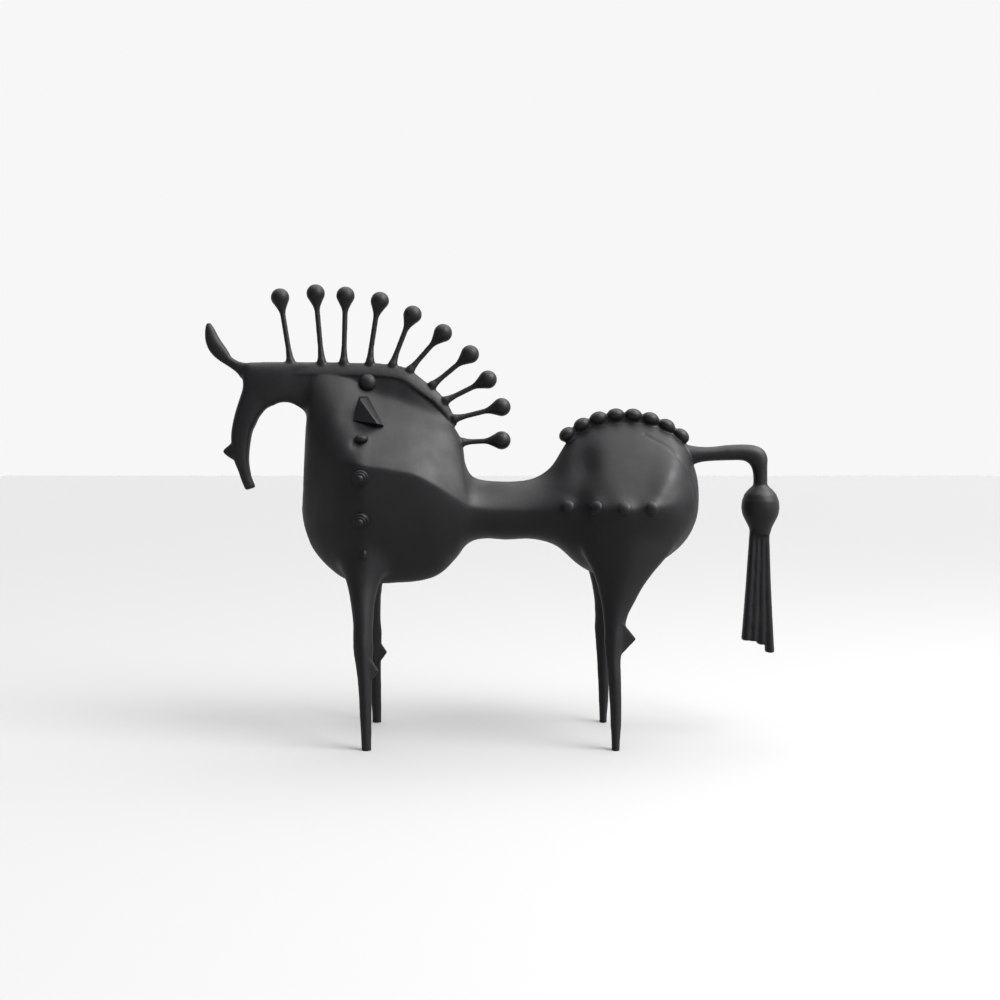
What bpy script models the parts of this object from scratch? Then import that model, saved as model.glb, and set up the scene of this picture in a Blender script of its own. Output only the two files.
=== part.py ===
"""A slim, stylised horse cast in one piece of blackened metal.

The horse faces -X and stands on four tapering legs. The origin is on the ground, midway
between the ends of the figure. Its pose and its profiles are given as shares of its own
length, in percent, and its ornaments have sizes of their own, in metres.
"""

import math

import bmesh
import bpy
import numpy as np
from mathutils import Matrix, Vector
from mathutils.bvhtree import BVHTree

# Driving dimensions, in metres
HORSE_LENGTH = 0.459
STANCE_WIDTH = 0.092
CHEST_WIDTH = 0.100
WAIST_WIDTH = 0.046
RUMP_WIDTH = 0.108
HEAD_THICKNESS = 0.017
EAR_THICKNESS = 0.009
FOOT_THICKNESS = 0.0085
CREST_BAND_HEIGHT = 0.0120
CREST_BAND_WIDTH = 0.0132
CREST_WEB_TOP = 0.0070
CREST_WEB_FOOT = 0.0330
CREST_WEB_WIDTH = 0.0100
MANE_STEM_DIAMETER = 0.0044
MANE_BALL_DIAMETER = 0.0148
RUMP_BEAD_LENGTH = 0.0142
RUMP_BEAD_HEIGHT = 0.0108
RUMP_BEAD_COUNT = 8
WEB_THICKNESS = 0.0050
FLANK_STUD_DIAMETER = 0.0112
FLANK_STUD_HEIGHT = 0.0042
CHEST_STUD_DIAMETER = 0.0125
CHEST_STUD_HEIGHT = 0.0068
CHEST_BOSS_DIAMETER = 0.0140
CHEST_BOSS_HEIGHT = 0.0055
THORN_HEIGHT = 0.0120
NUB_DIAMETER = 0.0105
DOT_DIAMETER = 0.0048
TAIL_BAR_THICKNESS = 0.012
TAIL_BALL_DIAMETER = 0.0300
TASSEL_STRAND_DIAMETER = 0.0074
TASSEL_THICKNESS = 0.0115
SPUR_THICKNESS = 0.0065

# How finely the cast surface is built
CORE_GRAIN = 0.0018
BLEND_ROUNDS = 40
GRAIN = MANE_STEM_DIAMETER / 3.1
FACET_COUNT = 9200
SMOOTHING_ROUNDS = 3
EASE_PULL = 0.5
SIDES = 32
ROUND_SIDES = 24
DOME_STEPS = 6
STEPS = 5
SINK = 0.004
THORN_FOOT = 0.0005

# The body, front to back, in percent of the length: top, widest line and bottom as x and z,
# then the share of the local width, how sharply the section turns above and below its widest
# line, and how far it is drawn in under the spine
BODY_FRONT = (
    (-32.0, 60.6, -32.8, 44.4, -33.2, 38.9, 0.06, 1.0, 1.0, 1.0),
    (-31.9, 63.2, -32.5, 46.0, -32.6, 35.9, 0.22, 1.1, 1.0, 1.1),
    (-31.2, 64.4, -31.3, 47.6, -31.2, 32.4, 0.39, 1.2, 1.05, 1.2),
    (-28.8, 64.6, -28.9, 47.9, -28.9, 29.5, 0.62, 1.3, 1.1, 1.3),
    (-25.9, 64.3, -26.0, 47.7, -26.0, 27.2, 0.84, 1.45, 1.15, 1.4),
    (-23.6, 63.4, -23.6, 47.4, -23.4, 26.4, 0.955, 1.6, 1.2, 1.35),
    (-22.0, 62.2, -22.0, 47.2, -21.7, 26.3, 1.00, 1.75, 1.2, 1.2),
    (-20.2, 61.2, -20.2, 46.9, -19.7, 26.3, 0.985, 1.8, 1.2, 1.15),
    (-17.2, 60.3, -17.0, 46.4, -16.3, 26.4, 0.95, 1.8, 1.25, 1.15),
    (-13.6, 59.0, -13.0, 45.6, -12.2, 26.9, 0.89, 1.8, 1.25, 1.15),
    (-10.2, 57.4, -9.6, 43.8, -8.9, 28.3, 0.80, 1.75, 1.2, 1.15),
    (-7.4, 55.8, -6.7, 41.9, -6.2, 31.0, 0.69, 1.65, 1.15, 1.3),
    (-5.3, 51.2, -4.9, 40.6, -4.7, 33.0, 0.60, 1.5, 1.1, 1.15),
    (-4.7, 47.4, -3.6, 40.0, -3.1, 34.0, 0.54, 1.45, 1.1, 1.0),
)
BODY_WAIST = (
    (-3.2, 45.0, -1.7, 39.6, -0.8, 34.3, 1.08, 1.4, 1.1, 1.0),
    (0.8, 44.3, 1.6, 39.3, 2.4, 34.1, 1.00, 1.4, 1.1, 1.0),
    (6.3, 44.6, 6.6, 39.2, 7.0, 34.2, 1.00, 1.45, 1.1, 1.0),
)
BODY_RUMP = (
    (10.0, 46.7, 11.1, 39.3, 11.1, 33.0, 0.51, 1.5, 1.1, 1.1),
    (12.9, 51.1, 14.9, 39.4, 14.7, 29.8, 0.64, 1.6, 1.15, 1.0),
    (15.4, 53.0, 17.6, 39.5, 17.6, 28.2, 0.84, 1.8, 1.15, 0.93),
    (18.6, 54.4, 20.4, 39.7, 21.4, 27.9, 0.96, 1.9, 1.15, 0.95),
    (22.9, 54.9, 23.0, 39.8, 25.3, 28.2, 1.00, 1.9, 1.15, 0.95),
    (28.4, 54.2, 24.8, 39.9, 29.2, 30.2, 1.00, 1.75, 1.15, 0.95),
    (33.0, 51.1, 25.8, 39.9, 33.0, 33.3, 1.00, 1.35, 1.15, 0.95),
    (35.4, 45.9, 26.4, 39.9, 35.1, 36.9, 1.00, 1.2, 1.1, 1.0),
    (35.8, 40.7, 26.6, 39.9, 35.8, 40.7, 1.00, 1.1, 1.1, 1.0),
)

# Flat pieces as ribs, each from one edge of the outline to the other as x, z, x, z, then the
# share of the thickness
HEAD_RIBS = (
    (-28.3, 64.6, -28.0, 54.1, 0.62),
    (-33.5, 65.0, -33.2, 56.5, 0.74),
    (-37.9, 65.0, -36.0, 58.1, 0.94),
    (-41.2, 65.0, -38.1, 57.5, 1.00),
    (-42.8, 64.8, -39.4, 56.9, 0.98),
    (-43.5, 63.3, -40.1, 56.1, 0.96),
    (-43.4, 60.9, -40.7, 55.3, 0.94),
    (-43.9, 59.0, -41.2, 54.2, 0.92),
    (-44.7, 56.5, -41.8, 52.9, 0.88),
    (-45.3, 53.9, -42.1, 51.4, 0.84),
    (-45.5, 51.6, -42.3, 49.9, 0.78),
    (-45.1, 48.3, -42.4, 47.8, 0.70),
    (-44.2, 45.9, -42.1, 45.6, 0.60),
    (-43.7, 44.4, -41.8, 44.6, 0.56),
    (-43.0, 42.7, -41.2, 43.2, 0.52),
)
NOSE_RIBS = (
    (-45.0, 51.5, -43.6, 47.2, 0.60),
    (-45.9, 50.6, -45.4, 48.1, 0.42),
    (-46.5, 50.1, -46.3, 48.7, 0.28),
    (-46.9, 49.7, -46.9, 49.2, 0.14),
)
EAR_RIBS = (
    (-42.8, 61.6, -41.2, 64.9, 1.00),
    (-43.7, 62.1, -42.6, 64.9, 0.80),
    (-44.5, 63.1, -43.9, 65.1, 0.66),
    (-45.5, 63.9, -44.8, 65.5, 0.62),
    (-46.4, 64.5, -45.5, 66.0, 0.66),
    (-47.5, 65.2, -46.0, 66.9, 0.78),
    (-48.6, 66.1, -46.6, 67.8, 0.92),
    (-49.5, 67.3, -47.3, 68.8, 1.00),
    (-50.0, 68.7, -47.9, 69.8, 0.96),
    (-50.1, 70.1, -48.4, 70.8, 0.80),
    (-50.0, 71.2, -48.8, 71.4, 0.56),
    (-49.8, 71.8, -49.1, 71.9, 0.30),
)
TAIL_RIBS = (
    (31.3, 51.3, 31.3, 46.4, 1.10),
    (34.2, 50.6, 34.4, 47.0, 1.05),
    (36.2, 50.3, 36.4, 47.6, 1.00),
    (38.4, 50.3, 38.4, 47.8, 1.00),
    (41.1, 50.6, 41.1, 47.9, 1.00),
    (43.9, 50.7, 43.4, 47.9, 1.00),
    (45.8, 50.5, 44.5, 47.5, 1.00),
    (47.2, 49.8, 45.1, 46.8, 1.00),
    (47.9, 48.5, 45.4, 45.9, 1.00),
    (47.9, 46.9, 45.5, 45.0, 1.00),
    (47.9, 44.5, 45.5, 44.1, 1.00),
    (47.9, 41.9, 45.5, 41.9, 1.00),
)

# Legs from the body down: height, front edge and rear edge in percent, then how far out the
# leg has come as a share of the way to the foot, and its thickness as a share of the foot's
FORE_LEG = (
    (35.9, -27.0, -16.0, 0.30, 5.2),
    (33.1, -26.9, -16.4, 0.34, 4.7),
    (29.6, -26.2, -17.5, 0.45, 3.5),
    (26.9, -25.1, -18.9, 0.55, 2.8),
    (24.1, -24.4, -19.5, 0.65, 2.4),
    (20.8, -23.8, -19.8, 0.75, 2.0),
    (16.4, -23.4, -19.9, 0.85, 1.65),
    (11.3, -22.6, -20.1, 0.92, 1.25),
    (5.6, -22.2, -20.1, 0.97, 1.10),
    (1.0, -21.9, -20.1, 1.00, 1.0),
    (-1.0, -21.8, -20.1, 1.00, 1.0),
)
HIND_LEG = (
    (41.4, 14.5, 34.0, 0.54, 5.4),
    (38.1, 14.6, 33.2, 0.59, 5.5),
    (35.7, 14.8, 31.6, 0.59, 5.3),
    (32.2, 15.1, 30.2, 0.60, 4.7),
    (29.3, 16.5, 27.8, 0.61, 4.0),
    (26.4, 17.4, 25.6, 0.65, 3.2),
    (24.1, 17.9, 24.3, 0.69, 2.6),
    (21.5, 18.3, 22.8, 0.75, 2.1),
    (18.3, 18.5, 22.2, 0.82, 1.7),
    (14.8, 18.8, 21.4, 0.89, 1.35),
    (11.3, 19.1, 21.4, 0.95, 1.15),
    (5.6, 19.4, 21.4, 0.98, 1.05),
    (1.0, 19.6, 21.1, 1.00, 1.0),
    (-1.0, 19.6, 21.0, 1.00, 1.0),
)
# The legs are cut flat at the ground by a block of this depth
GROUND_DEPTH = 20.0
# Where limbs and crest flow out of the body: x and z, how far out, and how far around
BLEND_PLACES = (
    ((-21.5, 28.0), 0.45, 12.0),
    ((22.0, 30.5), 0.55, 13.5),
    ((-33.4, 57.5), 0.0, 4.5),
    ((-18.5, 58.8), 0.1, 4.5),
    ((-12.5, 57.2), 0.1, 5.0),
    ((-8.4, 54.2), 0.1, 3.5),
)
# Thorns behind the knee and the hock: root above, root below and tip as x, z
SPUR_ROOT_SHARE = 1.0
SPUR_TIP_SHARE = 0.32
KNEE_SPUR = ((-20.6, 15.2), (-20.6, 10.8), (-19.0, 12.9))
HOCK_SPUR = ((21.8, 20.8), (20.9, 15.0), (24.0, 18.1))

# The crest's top edge as x and z, and its band's share of the full width
CREST_EDGE = (
    (-40.2, 65.1, 1.0), (-33.5, 65.1, 1.0), (-25.9, 65.0, 1.0), (-18.9, 64.8, 1.0),
    (-14.9, 64.0, 0.98), (-11.8, 61.8, 0.92), (-9.1, 59.6, 0.88), (-7.3, 57.0, 0.78),
    (-6.1, 54.0, 0.55),
)
# The mane's pins: where each leaves the crest and its ball's centre as x, z, x, z, then how
# far the stem bows forwards
MANE_PINS = (
    (-35.2, 65.2, -37.0, 76.3, 0.0),
    (-29.75, 65.2, -30.8, 77.0, 0.0),
    (-25.9, 65.2, -25.6, 76.6, 0.0),
    (-21.3, 65.2, -19.6, 75.7, 0.3),
    (-17.3, 64.8, -13.9, 73.3, 0.2),
    (-14.2, 63.8, -8.6, 70.1, 0.1),
    (-10.3, 61.1, -3.9, 66.4, 0.0),
    (-8.0, 58.4, -0.8, 62.0, 0.0),
    (-6.4, 55.2, 1.6, 57.2, 0.0),
    (-5.0, 51.1, 1.6, 51.4, 0.0),
)
# A stem from its flared root up: radius as a share of the stem's, height as a share of the reach
MANE_STEM_ROWS = ((1.7, -0.07), (1.7, 0.0), (1.3, 0.07), (1.0, 0.22))
# How the stem widens into its ball: radius and depth below the centre as shares of the ball's
MANE_BALL_ROWS = ((0.30, 1.85), (0.40, 1.40), (0.62, 0.95))

# The rump's beads stand on an arc: first angle from upright, and pitch, in degrees
BEAD_CENTRE = (22.8, 40.2)
BEAD_RADIUS = 15.68
BEAD_FIRST_ANGLE = -38.6
BEAD_PITCH = 11.25
# How far up the beads the web between them reaches, as a share of half their height
WEB_TOP = 0.2

# The sides of the drawn-out sections: 1 is an oval, less is squarer, more is sharper
LEG_SQUARENESS = 1.45
HEAD_SQUARENESS = 0.75
TAIL_SQUARENESS = 1.0
CREST_SQUARENESS = 1.5
CREST_WEB_SQUARENESS = 0.6
# How far down the crest's band and its web are widest
CREST_WIDEST = 0.90
CREST_WEB_WIDEST = 0.5

# Ornaments down the shoulder and along the flank, as x and z
BOSS_PLACE = (-21.6, 61.4)
# The thorn's foot, and its ridges with their heights as shares
THORN_CORNERS = ((-22.5, 58.9), (-23.5, 54.8), (-18.9, 54.0), (-21.4, 58.6))
THORN_RIDGE = ((-22.6, 58.5, 0.6), (-21.2, 56.6, 1.0), (-21.8, 58.8, 0.35), (-19.1, 54.3, 0.3))
NUB_PLACE = (-22.0, 51.6)
CHEST_STUD_PLACES = ((-21.9, 45.1), (-22.0, 38.0))
DOT_PLACE = (-21.6, 32.2)
NUB_PROUD = 0.7
FLANK_STUD_FIRST = (12.7, 40.1)
FLANK_STUD_PITCH = 4.5
FLANK_STUD_COUNT = 4
# A ringed stud: radius and height as shares, up to where its round button begins
STUD_RING_ROWS = ((1.0, 0.25), (0.92, 0.36), (0.78, 0.36), (0.76, 0.62), (0.70, 0.68), (0.56, 0.66))
STUD_BUTTON = 0.50

# The ball of the tail as height and share of its diameter, and the tassel's centre lines
TAIL_BALL_X = 46.7
TAIL_BALL_PROFILE = (
    (43.9, 0.30), (43.4, 0.44), (42.8, 0.64), (42.0, 0.84), (40.8, 0.97), (39.6, 1.00),
    (38.4, 0.93), (37.3, 0.77), (36.2, 0.60), (35.0, 0.50),
)
# A strand's width and depth at its top, as shares of those at its foot
TASSEL_TOP_WIDTH = 0.62
TASSEL_TOP_DEPTH = 0.8
TASSEL_LINES = (
    ((45.4, 36.1), (44.85, 26.5), (44.2, 16.6)),
    ((46.2, 36.1), (45.85, 26.5), (45.5, 16.5)),
    ((47.0, 36.1), (46.9, 26.5), (46.9, 15.9)),
    ((47.7, 36.1), (47.85, 26.5), (48.3, 14.5)),
)


def share(percent):
    """Turns a share of the horse's length into metres."""
    return HORSE_LENGTH * percent / 100.0


def smooth_rows(rows, steps):
    """Runs a smooth curve through rows of numbers and returns more rows."""
    result = []
    last = len(rows) - 1
    for index in range(last):
        before = rows[max(index - 1, 0)]
        here = rows[index]
        there = rows[index + 1]
        after = rows[min(index + 2, last)]
        for step in range(steps):
            t = step / steps
            weights = (
                -0.5 * t + t * t - 0.5 * t ** 3,
                1.0 - 2.5 * t * t + 1.5 * t ** 3,
                0.5 * t + 2.0 * t * t - 1.5 * t ** 3,
                -0.5 * t * t + 0.5 * t ** 3,
            )
            values = zip(before, here, there, after)
            result.append(tuple(sum(w * v for w, v in zip(weights, four)) for four in values))
    result.append(tuple(rows[last]))
    return result


def power(value, exponent):
    """Raises the size of a number to a power and keeps its sign."""
    return math.copysign(abs(value) ** exponent, value)


def section(top, middle, bottom, half_width, side, squareness=(1.0, 1.0), pinch=1.0):
    """One closed ring: an oval through a top, a widest and a bottom point in the horse's plane."""
    ring = []
    for index in range(SIDES):
        angle = 2.0 * math.pi * index / SIDES
        along = math.cos(angle)
        if along >= 0.0:
            place = middle.lerp(top, power(along, squareness[0]))
            across = power(math.sin(angle), squareness[0] * pinch)
        else:
            place = middle.lerp(bottom, power(-along, squareness[1]))
            across = power(math.sin(angle), squareness[1])
        ring.append(Vector((place.x, side + half_width * across, place.y)))
    return ring


def loft(rings, closed_end=False):
    """A closed skin over a row of rings, with flat ends unless the last ring closes itself."""
    form = bmesh.new()
    loops = [[form.verts.new(point) for point in ring] for ring in rings]
    for first, second in zip(loops, loops[1:]):
        for index in range(SIDES):
            following = (index + 1) % SIDES
            form.faces.new((first[index], first[following], second[following], second[index]))
    form.faces.new(loops[0])
    if not closed_end:
        form.faces.new(loops[-1])
    bmesh.ops.remove_doubles(form, verts=form.verts, dist=1e-5)
    bmesh.ops.dissolve_degenerate(form, edges=form.edges, dist=1e-6)
    bmesh.ops.recalc_face_normals(form, faces=form.faces)
    return form


def body_form():
    """Chest, waist and rump as one swelling and narrowing skin."""
    rows = []
    for stations, width in (
        (BODY_FRONT, CHEST_WIDTH),
        (BODY_WAIST, WAIST_WIDTH),
        (BODY_RUMP, RUMP_WIDTH),
    ):
        for station in stations:
            places = tuple(share(value) for value in station[:6])
            rows.append(places + (station[6] * width / 2.0,) + station[7:])
    last = rows[-2]
    turned_over = last[4:6] + last[2:4] + last[0:2] + last[6:]
    rings = []
    for row in smooth_rows(rows + [turned_over], STEPS)[:-STEPS]:
        top = Vector(row[0:2])
        middle = Vector(row[2:4])
        bottom = Vector(row[4:6])
        rings.append(section(top, middle, bottom, row[6], 0.0, row[7:9], row[9]))
    return loft(rings, closed_end=True)


def ribbed_form(ribs, thickness, squareness):
    """A bar whose two edges follow an outline, from ribs in percent."""
    rings = []
    for row in smooth_rows(ribs, STEPS):
        top = Vector((share(row[0]), share(row[1])))
        bottom = Vector((share(row[2]), share(row[3])))
        middle = (top + bottom) / 2.0
        half_width = row[4] * thickness / 2.0
        rings.append(section(top, middle, bottom, half_width, 0.0, (squareness, squareness)))
    return loft(rings)


def leg_form(rows, side):
    """One leg, from inside the body to below the ground, where it is cut flat."""
    rings = []
    for height, front, rear, outwards, thickness in smooth_rows(rows, STEPS):
        top = Vector((share(front), share(height)))
        bottom = Vector((share(rear), share(height)))
        half = thickness * FOOT_THICKNESS / 2.0
        place = side * outwards * STANCE_WIDTH / 2.0
        middle = (top + bottom) / 2.0
        turn = (LEG_SQUARENESS, LEG_SQUARENESS)
        rings.append(section(top, middle, bottom, half, place, turn))
    return loft(rings)


def side_at(height, rows):
    """How far out a leg is at a height, in metres."""
    for upper, lower in zip(rows, rows[1:]):
        if upper[0] >= height >= lower[0]:
            t = (upper[0] - height) / (upper[0] - lower[0])
            return (upper[3] + t * (lower[3] - upper[3])) * STANCE_WIDTH / 2.0
    return STANCE_WIDTH / 2.0


def spur_form(outline, rows, side):
    """A small thorn on the back of a leg."""
    above, below, tip = outline
    place = side * side_at(tip[1], rows)
    form = bmesh.new()
    corners = ((above, SPUR_ROOT_SHARE), (below, SPUR_ROOT_SHARE), (tip, SPUR_TIP_SHARE))
    for corner, part in corners:
        half = part * SPUR_THICKNESS / 2.0
        for y in (place - half, place + half):
            form.verts.new((share(corner[0]), y, share(corner[1])))
    bmesh.ops.convex_hull(form, input=form.verts)
    return form


def turned_form(profile, matrix):
    """A solid turned about its own z axis, from radius and height, foot first, then placed."""
    form = bmesh.new()
    loops = []
    for radius, height in profile:
        loop = []
        for index in range(ROUND_SIDES):
            angle = 2.0 * math.pi * index / ROUND_SIDES
            place = (radius * math.cos(angle), radius * math.sin(angle), height)
            loop.append(form.verts.new(place))
        loops.append(loop)
    for first, second in zip(loops, loops[1:]):
        for index in range(ROUND_SIDES):
            following = (index + 1) % ROUND_SIDES
            form.faces.new((first[index], first[following], second[following], second[index]))
    form.faces.new(loops[0])
    form.faces.new(loops[-1])
    bmesh.ops.remove_doubles(form, verts=form.verts, dist=1e-6)
    bmesh.ops.recalc_face_normals(form, faces=form.faces)
    form.transform(matrix)
    return form


def ball_form(place, size, turn=Matrix.Identity(4)):
    """A round or stretched ball, turned by a rotation."""
    form = bmesh.new()
    stretch = Matrix.Diagonal((size[0] / 2.0, size[1] / 2.0, size[2] / 2.0, 1.0))
    matrix = Matrix.Translation(place) @ turn @ stretch
    rows = ROUND_SIDES // 2
    bmesh.ops.create_uvsphere(form, u_segments=ROUND_SIDES, v_segments=rows, radius=1.0, matrix=matrix)
    return form


def leaning(place, angle):
    """A frame at a place in the horse's plane, its z axis leaning back by an angle."""
    return Matrix.Translation(place) @ Matrix.Rotation(angle, 4, 'Y')


def crest_form(top, foot, width, widest, squareness):
    """A bar along the neck's top, standing on edge: the raised band or the web under it."""
    rings = []
    rows = smooth_rows(CREST_EDGE, STEPS)
    for index, row in enumerate(rows):
        before = Vector(rows[max(index - 1, 0)][:2])
        after = Vector(rows[min(index + 1, len(rows) - 1)][:2])
        inwards = -(after - before).normalized().orthogonal()
        edge = Vector((share(row[0]), share(row[1])))
        upper = edge + inwards * top
        lower = edge + inwards * foot
        half_width = row[2] * width / 2.0
        turn = (squareness, squareness)
        rings.append(section(upper, upper.lerp(lower, widest), lower, half_width, 0.0, turn))
    return loft(rings)


def mane_forms():
    """Ten pins: a flared root, a thin stem and a ball that tapers into it."""
    stem = MANE_STEM_DIAMETER / 2.0
    ball = MANE_BALL_DIAMETER / 2.0
    forms = []
    for root_x, root_z, ball_x, ball_z, bow in MANE_PINS:
        run = Vector((share(ball_x - root_x), share(ball_z - root_z)))
        reach = run.length
        profile = [(stem * part, reach * height) for part, height in MANE_STEM_ROWS]
        profile += [(ball * part, reach - ball * depth) for part, depth in MANE_BALL_ROWS]
        for step in range(1 - DOME_STEPS // 2, DOME_STEPS + 1):
            angle = math.pi / 2.0 * step / DOME_STEPS
            profile.append((ball * math.cos(angle), reach + ball * math.sin(angle)))
        form = turned_form(profile, Matrix.Identity(4))
        for vertex in form.verts:
            along = min(max(vertex.co.z / reach, 0.0), 1.0)
            vertex.co.x -= share(bow) * math.sin(math.pi * along)
        place = Vector((share(root_x), 0.0, share(root_z)))
        form.transform(leaning(place, math.atan2(run.x, run.y)))
        forms.append(form)
    return forms


def bead_forms():
    """The row of beads over the rump, on a thin web that fills the gaps between them."""
    web = []
    for step in range(2 * STEPS + 1):
        turn = BEAD_PITCH * (RUMP_BEAD_COUNT - 1) * step / (2.0 * STEPS)
        angle = math.radians(BEAD_FIRST_ANGLE + turn)
        outwards = Vector((math.sin(angle), math.cos(angle)))
        middle = Vector((share(BEAD_CENTRE[0]), share(BEAD_CENTRE[1])))
        middle += outwards * share(BEAD_RADIUS)
        half = outwards * RUMP_BEAD_HEIGHT / 2.0
        foot = middle - 2.0 * half
        web.append(section(middle + half * WEB_TOP, middle - half, foot, WEB_THICKNESS / 2.0, 0.0))
    forms = [loft(web)]
    size = (RUMP_BEAD_LENGTH, RUMP_BEAD_LENGTH, RUMP_BEAD_HEIGHT)
    centre = Vector((share(BEAD_CENTRE[0]), 0.0, share(BEAD_CENTRE[1])))
    for index in range(RUMP_BEAD_COUNT):
        angle = math.radians(BEAD_FIRST_ANGLE + index * BEAD_PITCH)
        outwards = Vector((math.sin(angle), 0.0, math.cos(angle)))
        place = centre + outwards * share(BEAD_RADIUS)
        forms.append(ball_form(place, size, Matrix.Rotation(angle, 4, 'Y')))
    return forms


def tail_forms():
    """The bent bar, the ball under it and the rope-like tassel."""
    forms = [ribbed_form(TAIL_RIBS, TAIL_BAR_THICKNESS, TAIL_SQUARENESS)]
    radius = TAIL_BALL_DIAMETER / 2.0
    profile = [(radius * part, share(height)) for height, part in reversed(TAIL_BALL_PROFILE)]
    place = Vector((share(TAIL_BALL_X), 0.0, 0.0))
    forms.append(turned_form(profile, Matrix.Translation(place)))
    half = TASSEL_STRAND_DIAMETER / 2.0
    for line in TASSEL_LINES:
        rings = []
        for step, (x, z) in enumerate(smooth_rows(line, STEPS)):
            reach = step / (2.0 * STEPS)
            width = half * (TASSEL_TOP_WIDTH + (1.0 - TASSEL_TOP_WIDTH) * reach)
            centre = Vector((share(x), share(z)))
            edge = Vector((width, 0.0))
            depth = TASSEL_THICKNESS / 2.0 * (TASSEL_TOP_DEPTH + (1.0 - TASSEL_TOP_DEPTH) * reach)
            rings.append(section(centre - edge, centre, centre + edge, depth, 0.0))
        forms.append(loft(rings))
    return forms


def skin_point(tree, x, z, side):
    """Where the body's skin is at a place seen from one side, and its outward direction."""
    start = Vector((share(x), side * HORSE_LENGTH, share(z)))
    point, normal, _, _ = tree.ray_cast(start, Vector((0.0, -side, 0.0)))
    return point, normal


def on_skin(tree, place, side):
    """A frame on the body's skin, its z axis pointing out of it."""
    point, normal = skin_point(tree, place[0], place[1], side)
    return Matrix.Translation(point) @ normal.to_track_quat('Z', 'Y').to_matrix().to_4x4()


def dome_profile(diameter, height):
    """A dome whose foot is sunk in the skin."""
    profile = [(diameter / 2.0, -SINK)]
    for step in range(DOME_STEPS + 1):
        angle = math.pi / 2.0 * step / DOME_STEPS
        profile.append((diameter / 2.0 * math.cos(angle), height * math.sin(angle)))
    return profile


def stud_profile(diameter, height):
    """A flat disc with a round button on it."""
    radius = diameter / 2.0
    profile = [(radius, -SINK)]
    profile += [(radius * part, height * level) for part, level in STUD_RING_ROWS]
    ring = profile[-1][1]
    for step in range(DOME_STEPS + 1):
        angle = math.pi / 2.0 * step / DOME_STEPS
        lift = ring + (height - ring) * math.sin(angle)
        profile.append((radius * STUD_BUTTON * math.cos(angle), lift))
    return profile


def thorn_form(tree, side):
    """The three-cornered thorn on the shoulder, its ridge standing out at the lower rear."""
    form = bmesh.new()
    for corner in THORN_CORNERS:
        point, normal = skin_point(tree, corner[0], corner[1], side)
        form.verts.new(point - normal * SINK)
        form.verts.new(point + normal * THORN_FOOT)
    for x, z, rise in THORN_RIDGE:
        point, _ = skin_point(tree, x, z, side)
        form.verts.new(point + Vector((0.0, side * rise * THORN_HEIGHT, 0.0)))
    bmesh.ops.convex_hull(form, input=form.verts)
    return form


def ornament_forms(tree):
    """Studs, thorn, nub and dot, alike on both sides."""
    forms = []
    for side in (-1.0, 1.0):
        for index in range(FLANK_STUD_COUNT):
            place = (FLANK_STUD_FIRST[0] + index * FLANK_STUD_PITCH, FLANK_STUD_FIRST[1])
            profile = dome_profile(FLANK_STUD_DIAMETER, FLANK_STUD_HEIGHT)
            forms.append(turned_form(profile, on_skin(tree, place, side)))
        profile = dome_profile(CHEST_BOSS_DIAMETER, CHEST_BOSS_HEIGHT)
        forms.append(turned_form(profile, on_skin(tree, BOSS_PLACE, side)))
        forms.append(thorn_form(tree, side))
        point, _ = skin_point(tree, NUB_PLACE[0], NUB_PLACE[1], side)
        forms.append(ball_form(point, (NUB_DIAMETER, NUB_DIAMETER, NUB_DIAMETER * NUB_PROUD)))
        for place in CHEST_STUD_PLACES:
            profile = stud_profile(CHEST_STUD_DIAMETER, CHEST_STUD_HEIGHT)
            forms.append(turned_form(profile, on_skin(tree, place, side)))
        point, _ = skin_point(tree, DOT_PLACE[0], DOT_PLACE[1], side)
        forms.append(ball_form(point, (DOT_DIAMETER, DOT_DIAMETER, DOT_DIAMETER)))
    return forms


def leg_forms():
    """Four legs."""
    forms = []
    for side in (-1.0, 1.0):
        forms.append(leg_form(FORE_LEG, side))
        forms.append(leg_form(HIND_LEG, side))
    return forms


def spur_forms():
    """The thorns behind the knees and the hocks."""
    forms = []
    for side in (-1.0, 1.0):
        forms.append(spur_form(KNEE_SPUR, FORE_LEG, side))
        forms.append(spur_form(HOCK_SPUR, HIND_LEG, side))
    return forms


def make_mesh(name, forms):
    """Puts several closed skins in one mesh."""
    whole = bmesh.new()
    for form in forms:
        piece = bpy.data.meshes.new("piece")
        form.to_mesh(piece)
        form.free()
        whole.from_mesh(piece)
        bpy.data.meshes.remove(piece)
    mesh = bpy.data.meshes.new(name)
    whole.to_mesh(mesh)
    whole.free()
    return mesh


def black_metal():
    """Satin black finish over cast metal."""
    material = bpy.data.materials.new("black_casting")
    material.use_nodes = True
    shader = material.node_tree.nodes["Principled BSDF"]
    shader.inputs["Base Color"].default_value = (0.030, 0.030, 0.033, 1.0)
    shader.inputs["Metallic"].default_value = 0.3
    shader.inputs["Roughness"].default_value = 0.5
    return material


def ground_cutter(collection):
    """The block below the ground that cuts the four feet flat."""
    bpy.ops.mesh.primitive_cube_add(size=1.0)
    cutter = bpy.context.object
    cutter.name = "ground_cutter"
    depth = share(GROUND_DEPTH)
    cutter.dimensions = (2.0 * HORSE_LENGTH, HORSE_LENGTH, depth)
    cutter.location = (0.0, 0.0, -depth / 2.0)
    for owner in list(cutter.users_collection):
        owner.objects.unlink(cutter)
    collection.objects.link(cutter)
    cutter.hide_render = True
    cutter.display_type = 'WIRE'
    return cutter


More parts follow.
